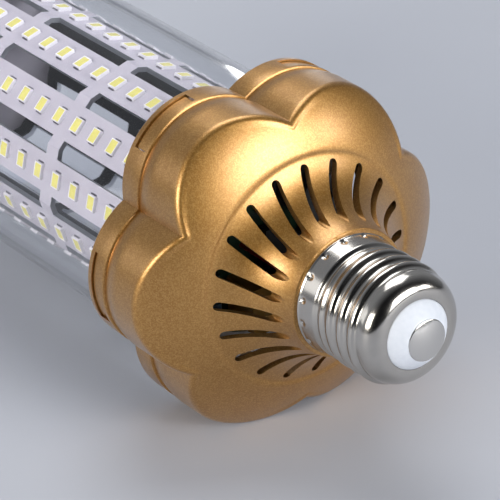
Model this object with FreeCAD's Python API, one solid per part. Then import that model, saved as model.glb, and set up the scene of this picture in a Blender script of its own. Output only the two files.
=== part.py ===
import FreeCAD, Part
import math
import os

V = FreeCAD.Vector
AXIS = V(0, 0, 1)
ORIGIN = V(0, 0, 0)

# Driving dimensions in millimetres. The bulb is drawn along +Z with its screw cap up and z = 0 where the
# cap's skirt meets the housing. It is laid on its side at the end, cap towards +X, resting on two lobes.

# Screw cap, size E27
cap_height = 27.0
skirt_d = 27.0
skirt_height = 5.6
thread_major_d = 26.3
thread_minor_d = 24.5
thread_pitch = 3.63
thread_crests = 3
thread_lead = 2.5
thread_lead_rise = 0.5
shell_wall = 0.5
shell_hole_d = 15.6
shell_lip = 0.5
insulator_flange_height = 1.6
contact_d = 9.3
contact_dome = 0.7
contact_edge = 0.3
contact_stem_d = 3.0
contact_stem_length = 5.6

# Six-lobed housing
lobe_count = 6
lobe_r = 39.0
valley_r = 33.2
housing_depth = 39.8
housing_wall = 1.6
neck_r = 14.4
neck_straight = 0.5
spigot_wall = 1.6
crease_r = 26.5
flare_height = 14.2
flare_sag = 2.5
flare_dip = 0.3
dome_drop = 7.7
dome_bulge = 0.7
lobe_edge_radius = 2.2
band_height = 6.2
band_step = 0.5

# Air slots in the flared neck
vent_count = 20
vent_width = 2.0
vent_outer_r = 24.7
vent_inner_r = 14.9
vent_twist = 8.0

# Snap windows in the rim of each lobe
window_width = 15.4
window_height = 3.6
window_back_land = 1.5

# Folded light board with one slot at every fold
facet_count = 12
board_corner_r = 25.1
board_thickness = 1.2
led_pitch = 7.0
leds_per_group = 5
group_count = 3
tab_length = 4.4
slot_width = 4.4

# Light-emitting chips
led_across = 3.5
led_along = 2.8
led_height = 0.8
end_ring_r = 17.0
end_ring_leds = 12
end_inner_ring_r = 8.5
end_inner_leds = 6

# Clear cover
cover_wall = 1.5
cover_end_gap = 6.0
cover_end_radius = 5.0
flange_thickness = 2.0
lug_inset = 0.4

# Base plate and the posts that carry it
plate_thickness = 2.0
plate_recess = 0.6
plate_ring_height = 3.0
plate_ring_wall = 2.0
plate_lead_hole_d = 11.0
post_count = 3
pilot_d = 2.2
pilot_depth = 9.0
screw_d = 2.6
screw_length = 9.0
screw_head_d = 4.2
screw_head_height = 1.4
screw_slot_width = 0.7
screw_slot_depth = 0.7

# Driver board and its components
driver_r = 21.5
driver_thickness = 1.6
standoff_height = 3.5
standoff_r = 2.0
standoff_circle_r = 18.5
main_cap_d = 10.0
main_cap_height = 14.0
output_cap_d = 8.0
output_cap_height = 12.0
cap_bead_height = 1.6
cap_bead_depth = 0.5
drum_d = 11.0
drum_height = 12.0
drum_flange = 1.6
drum_core_d = 5.0
film_length = 11.0
film_width = 5.0
film_height = 9.5
film_corner = 0.8
bridge_length = 8.4
bridge_width = 6.4
bridge_height = 3.2
chip_length = 9.2
chip_width = 6.4
chip_height = 3.4
leg_width = 1.0
leg_thickness = 0.4
leg_reach = 1.0
fuse_body_d = 3.2
fuse_body_length = 8.0
fuse_cap_d = 3.8
fuse_cap_length = 1.6
fuse_wire_d = 0.8
fuse_lift = 1.6
lead_d = 1.3
lead_bend_r = 3.0

# Places of the driver's parts, in shares of the driver board's radius
main_cap_place = (0.53, 0.23)
output_cap_place = (0.09, 0.65)
drum_place = (-0.51, 0.42)
film_place = (0.53, -0.30)
bridge_place = (-0.28, -0.60)
chip_place = (0.07, 0.14)
fuse_place = (0.28, -0.70)

# Clearances
slip_gap = 0.1
snap_gap = 0.3
air_gap = 0.6

# Sizes that follow from the ones above
skirt_r = skirt_d / 2
thread_major_r = thread_major_d / 2
thread_minor_r = thread_minor_d / 2
spigot_r = skirt_r - shell_wall - slip_gap
neck_bore_r = spigot_r - spigot_wall
skirt_taper = skirt_r - thread_minor_r
shoulder_radius = thread_minor_r - shell_hole_d / 2 - shell_lip
spigot_height = skirt_height - skirt_taper - shell_wall
crease_z = flare_dip - neck_straight - flare_height
lobe_angle = 360.0 / lobe_count
half_lobe = math.radians(lobe_angle / 2)
lobe_centre_r = (lobe_r ** 2 - valley_r ** 2) / (2 * (lobe_r - valley_r * math.cos(half_lobe)))
lobe_arc_r = lobe_r - lobe_centre_r
rim_z = -housing_depth
band_z = rim_z + band_height
rest_height = lobe_centre_r * math.cos(half_lobe) + lobe_arc_r

fold_angle = 360.0 / facet_count
board_face_r = board_corner_r * math.cos(math.radians(fold_angle / 2))
board_back_r = board_face_r - board_thickness
board_start_z = rim_z + plate_recess
group_length = leds_per_group * led_pitch
board_length = group_count * group_length + tab_length
board_end_z = board_start_z - board_length
first_tab_z = board_start_z - tab_length / 2
end_face_z = board_end_z - board_thickness
cover_end_z = end_face_z - led_height - cover_end_gap - cover_wall

plate_front_z = board_start_z + plate_thickness
driver_back_z = plate_front_z + standoff_height
driver_front_z = driver_back_z + driver_thickness
window_low_z = rim_z + window_back_land
window_high_z = window_low_z + window_height
flange_high_z = window_high_z - snap_gap
flange_low_z = flange_high_z - flange_thickness


def valley_radius(inset):
    """Distance from the axis to a valley of the lobed outline drawn in by an inset."""
    side = lobe_centre_r * math.sin(half_lobe)
    return lobe_centre_r * math.cos(half_lobe) + math.sqrt((lobe_arc_r - inset) ** 2 - side ** 2)


cover_r = valley_radius(housing_wall) - snap_gap
cover_bore_r = cover_r - cover_wall
plate_r = cover_bore_r - air_gap
post_circle_r = (board_face_r + cover_bore_r) / 2
post_r = (cover_bore_r - board_face_r) / 2 - snap_gap


def polar(radius, degrees, z=0.0):
    angle = math.radians(degrees)
    return V(radius * math.cos(angle), radius * math.sin(angle), z)


def turned(shape, degrees):
    """A copy of the shape turned about the bulb's axis."""
    copy = shape.copy()
    copy.rotate(ORIGIN, AXIS, degrees)
    return copy


def around(shape, count, first=0.0):
    """Copies of the shape spread evenly about the bulb's axis."""
    return [turned(shape, first + i * 360.0 / count) for i in range(count)]


def cylinder(radius, low_z, high_z, centre=ORIGIN):
    return Part.makeCylinder(radius, high_z - low_z, V(centre.x, centre.y, low_z))


def block(size_x, size_y, low_z, high_z, centre=ORIGIN):
    corner = V(centre.x - size_x / 2, centre.y - size_y / 2, low_z)
    return Part.makeBox(size_x, size_y, high_z - low_z, corner)


def line(start, end):
    return Part.makeLine(V(start[0], 0, start[1]), V(end[0], 0, end[1]))


def arc(start, middle, end):
    points = [V(p[0], 0, p[1]) for p in (start, middle, end)]
    return Part.Arc(*points).toShape()


def corner_arc(centre, radius, from_degrees, to_degrees):
    """A round corner in the profile plane, given by its centre and its two end directions."""
    angles = [math.radians(a) for a in (from_degrees, (from_degrees + to_degrees) / 2, to_degrees)]
    points = [(centre[0] + radius * math.cos(a), centre[1] + radius * math.sin(a)) for a in angles]
    return arc(*points)


def polyline(points):
    return [line(a, b) for a, b in zip(points, points[1:])]


def revolve(edges, centre=ORIGIN):
    """A solid of revolution from a closed profile of (radius, z) edges."""
    wire = Part.Wire(Part.__sortEdges__(edges))
    solid = Part.Face(wire).revolve(ORIGIN, AXIS, 360)
    solid.translate(V(centre.x, centre.y, 0))
    return solid


def lobed_prism(inset, low_z, high_z):
    """The six-lobed outline, drawn in by an inset, as a prism. Its first valley points along +X."""
    radius = lobe_arc_r - inset
    valley = valley_radius(inset)
    edges = []
    for i in range(lobe_count):
        start = polar(valley, i * lobe_angle, low_z)
        peak = polar(lobe_centre_r + radius, (i + 0.5) * lobe_angle, low_z)
        end = polar(valley, (i + 1) * lobe_angle, low_z)
        edges.append(Part.Arc(start, peak, end).toShape())
    return Part.Face(Part.Wire(edges)).extrude(V(0, 0, high_z - low_z))


def faceted_prism(corner_radius, low_z, high_z):
    """A regular prism whose corners are the folds of the light board."""
    corners = [polar(corner_radius, i * fold_angle, low_z) for i in range(facet_count + 1)]
    return Part.Face(Part.makePolygon(corners)).extrude(V(0, 0, high_z - low_z))


def wire_sweep(points, diameter):
    """A round lead along straight runs with rounded bends."""
    edges = []
    start = points[0]
    for before, corner, after in zip(points, points[1:], points[2:]):
        back = (before - corner).normalize()
        ahead = (after - corner).normalize()
        half = back.getAngle(ahead) / 2
        cut = lead_bend_r / math.tan(half)
        enter = corner + back * cut
        leave = corner + ahead * cut
        bisector = (back + ahead).normalize()
        middle = corner + bisector * (lead_bend_r / math.sin(half) - lead_bend_r)
        edges.append(Part.makeLine(start, enter))
        edges.append(Part.Arc(enter, middle, leave).toShape())
        start = leave
    edges.append(Part.makeLine(start, points[-1]))
    path = Part.Wire(edges)
    direction = points[1] - points[0]
    profile = Part.Wire(Part.makeCircle(diameter / 2, points[0], direction))
    return path.makePipeShell([profile], True, True)


# Screw cap: rolled shell, cone-shaped insulator and riveted centre contact

def thread_end_z():
    """Where the thread's last crest runs into the rounded end of the shell."""
    return skirt_height + thread_lead + thread_crests * thread_pitch


def make_screw_shell():
    """The rolled shell: a plain skirt, a low first crest, the full crests and a rounded end."""
    thread_start = skirt_height + thread_lead
    thread_end = thread_end_z()
    neck_in = thread_minor_r - shoulder_radius
    top_z = thread_end + shoulder_radius
    hole_r = shell_hole_d / 2
    outside = [line((skirt_r, 0), (skirt_r, skirt_height - skirt_taper))]
    outside.append(line((skirt_r, skirt_height - skirt_taper), (thread_minor_r, skirt_height)))
    lead_crest = (thread_minor_r + thread_lead_rise, skirt_height + thread_lead / 2)
    outside.append(arc((thread_minor_r, skirt_height), lead_crest, (thread_minor_r, thread_start)))
    for i in range(thread_crests):
        low = thread_start + i * thread_pitch
        high = low + thread_pitch
        crest = (thread_major_r, low + thread_pitch / 2)
        outside.append(arc((thread_minor_r, low), crest, (thread_minor_r, high)))
    outside.append(corner_arc((neck_in, thread_end), shoulder_radius, 0, 90))
    outside.append(line((neck_in, top_z), (hole_r, top_z)))
    inner_r = thread_minor_r - shell_wall
    inside = polyline([(hole_r, top_z), (hole_r, top_z - shell_wall), (neck_in, top_z - shell_wall)])
    inside.append(corner_arc((neck_in, thread_end), shoulder_radius - shell_wall, 0, 90))
    inside += polyline([
        (inner_r, thread_end),
        (inner_r, skirt_height),
        (skirt_r - shell_wall, skirt_height - skirt_taper - shell_wall),
        (skirt_r - shell_wall, 0),
        (skirt_r, 0),
    ])
    return revolve(outside + inside)


def shell_seat_z():
    """The underside of the shell's end, where the insulator's flange bears."""
    return thread_end_z() + shoulder_radius - shell_wall


def make_cap_insulator():
    seat = shell_seat_z()
    collar_r = shell_hole_d / 2 - slip_gap
    nose_z = contact_seat_z()
    flange_r = shell_hole_d / 2 + shell_lip - slip_gap
    hole_r = contact_stem_d / 2 + slip_gap
    profile = polyline([
        (hole_r, seat - insulator_flange_height),
        (flange_r, seat - insulator_flange_height),
        (flange_r, seat),
        (collar_r, seat),
        (collar_r, seat + shell_wall),
        (contact_d / 2, nose_z),
        (hole_r, nose_z),
        (hole_r, seat - insulator_flange_height),
    ])
    return revolve(profile)


def make_centre_contact():
    """A pressed disc with a domed face, and the rivet stem that fixes it in the insulator."""
    nose_z = contact_seat_z()
    rim_r = contact_d / 2
    stem_r = contact_stem_d / 2
    stem_z = nose_z - contact_stem_length
    sphere_r = (rim_r ** 2 + contact_dome ** 2) / (2 * contact_dome)
    quarter = math.asin(rim_r / sphere_r) / 2
    rim = (rim_r, nose_z + contact_edge)
    middle = (sphere_r * math.sin(quarter), cap_height - sphere_r * (1 - math.cos(quarter)))
    tip = (0, cap_height)
    profile = [arc(rim, middle, tip)]
    profile += polyline([tip, (0, stem_z), (stem_r, stem_z), (stem_r, nose_z), (rim_r, nose_z), rim])
    return revolve(profile)


def contact_seat_z():
    """The end of the insulator's nose, under the contact."""
    return cap_height - contact_dome - contact_edge


# Housing: a flared neck and a domed, six-lobed skirt moulded as one shell

def dome_points():
    """Three points of the dome's profile: at the crease, half way and at the edge of a lobe."""
    crease = (crease_r, crease_z)
    edge = (lobe_r, crease_z - dome_drop)
    run = edge[0] - crease[0]
    slope = math.hypot(run, dome_drop)
    middle = (
        (crease[0] + edge[0]) / 2 + dome_bulge * dome_drop / slope,
        (crease[1] + edge[1]) / 2 + dome_bulge * run / slope,
    )
    return crease, middle, edge


def dome_arc(drop):
    """The dome's profile from the crease out past the lobes, lowered by a drop, and its far end."""
    crease, middle, edge = dome_points()
    circle = arc(crease, middle, edge).Curve
    far_r = lobe_r + housing_wall
    far_z = circle.Center.z + math.sqrt(circle.Radius ** 2 - (far_r - circle.Center.x) ** 2)
    points = [(p[0], p[1] - drop) for p in (crease, middle, (far_r, far_z))]
    return arc(*points), points[-1]


def make_lobe():
    """One lobe, along +X: a round column under the dome, with its front edge rounded.

    The column's outline is two arcs that meet on the lines where a lobe rests when the lamp lies down.
    """
    dome, far = dome_arc(0)
    profile = polyline([(0, band_z), (0, crease_z), (crease_r, crease_z)])
    profile.append(dome)
    profile += polyline([far, (far[0], band_z), (0, band_z)])
    centre = V(lobe_centre_r, 0, band_z)
    rest_turn = lobe_angle / 2
    outline = [
        Part.makeCircle(lobe_arc_r, centre, AXIS, -rest_turn, rest_turn),
        Part.makeCircle(lobe_arc_r, centre, AXIS, rest_turn, 360 - rest_turn),
    ]
    column = Part.Face(Part.Wire(outline)).extrude(V(0, 0, crease_z + lobe_arc_r - band_z))
    lobe = column.common(revolve(profile))
    front = []
    for edge in lobe.Edges:
        middle = edge.valueAt((edge.FirstParameter + edge.LastParameter) / 2)
        from_centre = math.hypot(middle.x - centre.x, middle.y)
        on_wall = abs(from_centre - lobe_arc_r) < slip_gap
        if on_wall and edge.BoundBox.ZMin > band_z + slip_gap:
            front.append(edge)
    return lobe.makeFillet(lobe_edge_radius, front)


def flare_points(inset):
    """Three points of the flare's profile, drawn in by an inset: at the neck, half way and at the crease."""
    neck = (neck_r, -neck_straight)
    foot = (crease_r, -neck_straight - flare_height)
    run = foot[0] - neck[0]
    slope = math.hypot(run, flare_height)
    middle = (
        (neck[0] + foot[0]) / 2 - flare_sag * flare_height / slope,
        (neck[1] + foot[1]) / 2 - flare_sag * run / slope,
    )
    circle = arc(neck, middle, foot).Curve
    share = inset / circle.Radius
    points = []
    for r, z in (neck, middle, foot):
        points.append((r + (r - circle.Center.x) * share, z + (z - circle.Center.z) * share))
    return points


def spline_arc(start, middle, end):
    """An arc as a spline, whose slotted face stays lighter than a ring face would."""
    return arc(start, middle, end).toNurbs().Edges[0]


def make_neck():
    """The flared neck: spigot for the cap, shoulder and flare down into the lobes."""
    profile = polyline([
        (0, band_z),
        (0, spigot_height),
        (spigot_r, spigot_height),
        (spigot_r, 0),
        (neck_r, 0),
        (neck_r, -neck_straight),
    ])
    flare = flare_points(0)
    profile.append(spline_arc(*flare))
    profile += polyline([flare[-1], (crease_r, band_z), (0, band_z)])
    return revolve(profile)


def make_hollow():
    """The inside: the neck's bore, then the flare and the dome one wall further in."""
    dome, far = dome_arc(housing_wall)
    neck, middle, foot = flare_points(housing_wall)
    profile = polyline([
        (0, rim_z),
        (0, spigot_height),
        (neck_bore_r, spigot_height),
        (neck_bore_r, neck[1]),
        neck,
    ])
    profile.append(spline_arc(neck, middle, (crease_r, crease_z - housing_wall)))
    profile.append(dome)
    profile += polyline([far, (far[0], rim_z), (0, rim_z)])
    return revolve(profile).common(lobed_prism(housing_wall, rim_z, spigot_height))


def make_lamp_housing():
    lobes = around(make_lobe(), lobe_count, lobe_angle / 2)
    band = lobed_prism(band_step, rim_z, band_z)
    body = make_neck().fuse(lobes + [band])
    shell = body.cut(make_hollow())

    post_at = polar(post_circle_r, fold_angle / 2)
    post = cylinder(post_r, plate_front_z, spigot_height, post_at).common(body)
    pilot = cylinder(pilot_d / 2, plate_front_z, plate_front_z + pilot_depth, post_at)
    shell = shell.fuse([turned(post.cut(pilot), a) for a in post_angles()])

    shell = shell.cut(around(vent_cutter(), vent_count))
    window = block(lobe_r, window_width, window_low_z, window_high_z, V(lobe_r, 0, 0))
    shell = shell.cut(around(window, lobe_count, lobe_angle / 2))
    return shell


def post_angles():
    return [fold_angle + i * 360.0 / post_count for i in range(post_count)]


def vent_cutter():
    """One air slot, drawn along the axis: round ends and a slight lean about the neck."""
    outer = polar(vent_outer_r - vent_width / 2, 0)
    inner = polar(vent_inner_r + vent_width / 2, vent_twist)
    run = outer - inner
    low = crease_z - 3 * housing_wall
    bar = Part.makeBox(run.Length, vent_width, -low, V(0, -vent_width / 2, low))
    bar.rotate(ORIGIN, AXIS, math.degrees(math.atan2(run.y, run.x)))
    bar.translate(V(inner.x, inner.y, 0))
    ends = [cylinder(vent_width / 2, low, 0, p) for p in (inner, outer)]
    return bar.fuse(ends)


# Clear cover: moulded tube with a closed end, a lobed flange and six snap lugs

def make_clear_cover():
    def half(radius, low_z, corner):
        profile = polyline([(0, flange_high_z), (radius, flange_high_z), (radius, low_z + corner)])
        profile.append(corner_arc((radius - corner, low_z + corner), corner, 0, -90))
        profile += polyline([(radius - corner, low_z), (0, low_z), (0, flange_high_z)])
        return revolve(profile)

    outside = half(cover_r, cover_end_z, cover_end_radius)
    inside = half(cover_bore_r, cover_end_z + cover_wall, cover_end_radius - cover_wall)
    flange = lobed_prism(housing_wall + snap_gap, flange_low_z, flange_high_z)
    reach = lobe_r - band_step - lug_inset
    lug = block(reach, window_width - 2 * snap_gap, flange_low_z, flange_high_z, V(reach / 2, 0, 0))
    lug = lug.common(turned(lobed_prism(band_step + lug_inset, flange_low_z, flange_high_z), lobe_angle / 2))
    solid = outside.fuse([flange] + around(lug, lobe_count, lobe_angle / 2))
    return solid.cut(inside).removeSplitter()


# Light board: one aluminium sheet folded into a tube, with a slot along every fold

def make_led_board():
    back_corner_r = board_back_r / math.cos(math.radians(fold_angle / 2))
    tube = faceted_prism(board_corner_r, board_end_z, board_start_z)
    tube = tube.cut(faceted_prism(back_corner_r, board_end_z, board_start_z))
    slots = []
    for group in range(group_count):
        high = first_tab_z - tab_length / 2 - group * group_length
        low = high - group_length + tab_length
        slot = block(board_corner_r, slot_width, low, high, V(board_corner_r, 0, 0))
        slots += around(slot, facet_count)
    lead_hole = cylinder(lead_d / 2 + slip_gap, 0, board_corner_r)
    lead_hole.rotate(ORIGIN, V(0, 1, 0), 90)
    lead_hole.translate(V(0, 0, board_lead_z()))
    slots += [turned(lead_hole, a) for a in board_lead_angles()]
    return tube.cut(slots)


def board_lead_z():
    """Height of the lead holes, between the first two chips of a row."""
    return first_tab_z - led_pitch


def board_lead_angles():
    return [-fold_angle / 2, fold_angle / 2]


def make_led_row(index):
    """One row of chips on the middle of a facet."""
    angle = (index + 0.5) * fold_angle
    chips = []
    for i in range(group_count * leds_per_group):
        middle_z = first_tab_z - (i + 0.5) * led_pitch
        chip = block(led_height, led_across, middle_z - led_along / 2, middle_z + led_along / 2,
                     V(board_face_r + led_height / 2, 0, 0))
        chips.append(turned(chip, angle))
    return Part.makeCompound(chips)


def make_end_board():
    return faceted_prism(board_corner_r, end_face_z, board_end_z)


def make_end_leds():
    """Two rings of chips on the end board."""
    def ring(radius, count):
        chip = block(led_along, led_across, end_face_z - led_height, end_face_z, V(radius, 0, 0))
        return around(chip, count)

    return Part.makeCompound(ring(end_ring_r, end_ring_leds) + ring(end_inner_ring_r, end_inner_leds))


# Base plate that carries the light board and the driver

def make_base_plate():
    plate = cylinder(plate_r, board_start_z, plate_front_z)
    ring_r = board_back_r - slip_gap
    ring_low = board_start_z - plate_ring_height
    ring = cylinder(ring_r, ring_low, board_start_z).cut(
        cylinder(ring_r - plate_ring_wall, ring_low, board_start_z))
    stand = cylinder(standoff_r, plate_front_z, driver_back_z, V(standoff_circle_r, 0, 0))
    plate = plate.fuse([ring] + around(stand, post_count, fold_angle))
    holes = [cylinder(plate_lead_hole_d / 2, ring_low, plate_front_z)]
    screw_at = polar(post_circle_r, fold_angle / 2)
    screw_hole = cylinder(screw_d / 2 + slip_gap, board_start_z, plate_front_z, screw_at)
    holes += [turned(screw_hole, a) for a in post_angles()]
    return plate.cut(holes)


def make_plate_screws():
    """Slotted pan-head screws that hold the plate to the posts."""
    tip_z = plate_front_z + screw_length - plate_thickness
    head_z = board_start_z - screw_head_height
    at = polar(post_circle_r, fold_angle / 2)
    shank = cylinder(screw_d / 2, board_start_z, plate_front_z, at)
    thread = cylinder(pilot_d / 2 - slip_gap, plate_front_z, tip_z, at)
    head = cylinder(screw_head_d / 2, head_z, board_start_z, at)
    head = head.cut(block(screw_head_d, screw_slot_width, head_z, head_z + screw_slot_depth, at))
    screw = head.fuse([shank, thread])
    return Part.makeCompound([turned(screw, a) for a in post_angles()])


# Driver: a round board with its components standing towards the cap

def on_driver(place):
    """A point on the driver board from its place, in shares of the board's radius."""
    return V(place[0] * driver_r, place[1] * driver_r, 0)


def make_driver_board():
    return cylinder(driver_r, driver_back_z, driver_front_z)


def make_can_capacitor(diameter, height, centre):
    """An aluminium can with the rolled bead near its foot and a shallow dished top."""
    foot = driver_front_z
    radius = diameter / 2
    bead_low = foot + cap_bead_height
    bead_high = bead_low + cap_bead_height
    waist = radius - cap_bead_depth
    top = foot + height
    dish_r = radius - 2 * cap_bead_depth
    profile = polyline([(0, foot), (radius, foot), (radius, bead_low)])
    profile.append(arc((radius, bead_low), (waist, (bead_low + bead_high) / 2), (radius, bead_high)))
    profile += polyline([
        (radius, bead_high),
        (radius, top),
        (dish_r, top),
        (dish_r, top - cap_bead_depth),
        (0, top - cap_bead_depth),
        (0, foot),
    ])
    return revolve(profile, centre)


def make_drum_inductor(centre):
    """A ferrite drum with its winding between two flanges."""
    foot = driver_front_z
    top = foot + drum_height
    radius = drum_d / 2
    winding_r = radius - drum_flange / 2
    profile = polyline([
        (0, foot),
        (radius, foot),
        (radius, foot + drum_flange),
        (winding_r, foot + drum_flange),
        (winding_r, top - drum_flange),
        (radius, top - drum_flange),
        (radius, top),
        (drum_core_d / 2, top),
        (drum_core_d / 2, top - drum_flange / 2),
        (0, top - drum_flange / 2),
        (0, foot),
    ])
    return revolve(profile, centre)


def make_film_capacitor(centre):
    box = block(film_length, film_width, driver_front_z, driver_front_z + film_height, centre)
    upright = [e for e in box.Edges if abs(e.tangentAt(e.FirstParameter).z) > 0.9]
    return box.makeFillet(film_corner, upright)


def make_legged_package(length, width, height, legs_per_side, centre):
    """A moulded package on gull legs, two rows of them."""
    leg_drop = height / 2
    body_low = driver_front_z + leg_thickness
    body = block(length, width, body_low, driver_front_z + height, centre)
    gap = length / legs_per_side
    legs = []
    for i in range(legs_per_side):
        at = centre + V((i - (legs_per_side - 1) / 2) * gap, 0, 0)
        top_z = driver_front_z + leg_drop
        bar = block(leg_width, width + 2 * leg_reach, driver_front_z, top_z, at)
        inner_width = width + 2 * (leg_reach - leg_thickness)
        legs.append(bar.cut(block(leg_width, inner_width, driver_front_z, top_z - leg_thickness, at)))
    return body.fuse(legs)


def make_bridge_rectifier():
    return make_legged_package(bridge_length, bridge_width, bridge_height, 2, on_driver(bridge_place))


def make_driver_chip():
    return make_legged_package(chip_length, chip_width, chip_height, 4, on_driver(chip_place))


def make_fuse_resistor(centre):
    """An axial fuse resistor: waisted body, end caps and two wires bent down to the board."""
    middle_z = driver_front_z + fuse_lift + fuse_cap_d / 2
    half = fuse_body_length / 2
    body = cylinder(fuse_body_d / 2, -half, half)
    caps = [cylinder(fuse_cap_d / 2, half - fuse_cap_length, half)]
    caps.append(cylinder(fuse_cap_d / 2, -half, fuse_cap_length - half))
    body = body.fuse(caps)
    body.rotate(ORIGIN, V(0, 1, 0), 90)
    body.translate(V(centre.x, centre.y, middle_z))
    reach = half + fuse_cap_d / 2
    wires = []
    for side in (-1, 1):
        post = V(centre.x + side * reach, centre.y, 0)
        wires.append(cylinder(fuse_wire_d / 2, driver_front_z, middle_z, post))
        run = Part.makeCylinder(fuse_wire_d / 2, reach, V(centre.x, centre.y, middle_z), V(side, 0, 0))
        knee = Part.makeSphere(fuse_wire_d / 2, V(post.x, post.y, middle_z))
        wires += [run, knee]
    return body.fuse(wires)


# Leads between the cap, the driver and the light board

def make_live_lead():
    stem_z = contact_seat_z() - contact_stem_length
    foot = V(0, -driver_r / 5, driver_front_z)
    rise = V(0, foot.y, crease_z / 7)
    turn = V(0, 0, spigot_height + lead_bend_r / 3)
    return wire_sweep([foot, rise, turn, V(0, 0, stem_z)], lead_d)


def make_neutral_lead():
    """Up through the neck, then out to the inside of the shell just above the spigot."""
    end_r = thread_minor_r - shell_wall - slip_gap
    rise_r = neck_bore_r - lead_d - lead_bend_r
    turn_z = spigot_height + skirt_taper + lead_bend_r
    return wire_sweep([V(-rise_r, 0, driver_front_z), V(-rise_r, 0, turn_z), V(-end_r, 0, turn_z)], lead_d)


def make_led_lead(angle):
    """A lead from the back of the driver through the plate and out to a facet."""
    hole_z = board_lead_z()
    start_r = plate_lead_hole_d / 2 - lead_d
    start = polar(start_r, angle, driver_back_z)
    turn = polar(start_r, angle, hole_z)
    return wire_sweep([start, turn, polar(board_face_r, angle, hole_z)], lead_d)


def lay_down(shape):
    """Cap towards +X, one valley straight down, the two lowest lobes on z = 0 and the middle at x = 0."""
    laid = shape.copy()
    laid.rotate(ORIGIN, V(0, 1, 0), 90)
    laid.translate(V(-(cap_height + cover_end_z) / 2, 0, rest_height))
    return laid


pieces = {
    "screw_shell": make_screw_shell(),
    "cap_insulator": make_cap_insulator(),
    "centre_contact": make_centre_contact(),
    "lamp_housing": make_lamp_housing(),
    "clear_cover": make_clear_cover(),
    "led_board": make_led_board(),
    "end_board": make_end_board(),
    "end_leds": make_end_leds(),
    "base_plate": make_base_plate(),
    "plate_screws": make_plate_screws(),
    "driver_board": make_driver_board(),
    "main_capacitor": make_can_capacitor(main_cap_d, main_cap_height, on_driver(main_cap_place)),
    "output_capacitor": make_can_capacitor(output_cap_d, output_cap_height, on_driver(output_cap_place)),
    "drum_inductor": make_drum_inductor(on_driver(drum_place)),
    "film_capacitor": make_film_capacitor(on_driver(film_place)),
    "bridge_rectifier": make_bridge_rectifier(),
    "driver_chip": make_driver_chip(),
    "fuse_resistor": make_fuse_resistor(on_driver(fuse_place)),
    "live_lead": make_live_lead(),
    "neutral_lead": make_neutral_lead(),
    "led_lead_positive": make_led_lead(board_lead_angles()[0]),
    "led_lead_negative": make_led_lead(board_lead_angles()[1]),
}
for row in range(facet_count):
    pieces["led_row_%02d" % (row + 1)] = make_led_row(row)

os.makedirs("parts", exist_ok=True)
for name, shape in pieces.items():
    lay_down(shape).exportStep("parts/%s.step" % name)
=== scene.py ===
import bmesh
import bpy
import numpy as np
from mathutils import Matrix, Vector


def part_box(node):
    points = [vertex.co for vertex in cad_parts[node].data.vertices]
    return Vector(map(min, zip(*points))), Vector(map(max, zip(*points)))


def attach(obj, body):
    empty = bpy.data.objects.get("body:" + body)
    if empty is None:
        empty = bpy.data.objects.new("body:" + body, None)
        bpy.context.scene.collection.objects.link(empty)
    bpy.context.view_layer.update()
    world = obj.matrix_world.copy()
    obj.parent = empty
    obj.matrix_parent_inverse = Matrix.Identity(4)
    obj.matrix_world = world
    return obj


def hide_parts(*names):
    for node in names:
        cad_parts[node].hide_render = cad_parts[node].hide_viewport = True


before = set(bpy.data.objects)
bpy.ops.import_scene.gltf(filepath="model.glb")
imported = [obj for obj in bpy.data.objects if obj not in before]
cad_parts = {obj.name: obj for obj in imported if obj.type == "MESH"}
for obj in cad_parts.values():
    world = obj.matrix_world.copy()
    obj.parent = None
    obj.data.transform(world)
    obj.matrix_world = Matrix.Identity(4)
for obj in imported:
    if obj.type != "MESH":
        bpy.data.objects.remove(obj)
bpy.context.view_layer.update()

# Screw shell of the cap: thin brass, pressed and rolled into a round knuckle thread and nickel plated.
# A ring of small punched stakes near the base of its skirt holds it on the housing's spigot.
shell_low, shell_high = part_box("screw_shell")
seat_x = shell_low.x * 1000
axis_z = (shell_low.z + shell_high.z) * 500
skirt_r = 13.5
skirt_slope = 0.1
minor_r = 12.25
shell_wall = 0.5
thread_depth = 0.9
thread_pitch = 3.63
thread_start = 5.6
thread_end = 18.99
crest_z = 10.6575
shoulder_r = 3.95
shell_hole_r = 7.8
lip_z = 0.25
lip_height = 0.2
stakes = 16
stake_z = 1.3
stake_r = 0.42
stake_depth = 0.4


def place(x, y, z):
    """Points from the lamp's own millimetres (z along the axis from the cap's seat) to the frame's."""
    return np.stack(np.broadcast_arrays(seat_x + z, y, axis_z - x), -1)


def polar(r, azimuth, z):
    """Points at a radius, an azimuth from straight down and a height above the cap's seat."""
    return place(r * np.cos(azimuth), r * np.sin(azimuth), z)


def turn_angles(columns):
    """One turn of azimuths, without the repeat at the end."""
    return np.arange(columns) * 2 * np.pi / columns


def smooth_step(low, high, value):
    """0 below low, 1 above high and a smooth cubic between."""
    t = np.clip((value - low) / (high - low), 0, 1)
    return t * t * (3 - 2 * t)


def grid_faces(rows, columns, ring):
    """Quads over rows of points that close around; a ring also joins the last row to the first."""
    i = np.arange(rows if ring else rows - 1)[:, None]
    j = np.arange(columns)[None, :]
    i_next = (i + 1) % rows
    j_next = (j + 1) % columns
    corners = (i * columns + j, i_next * columns + j, i_next * columns + j_next, i * columns + j_next)
    return np.stack(corners, -1).reshape(-1, 4)


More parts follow.
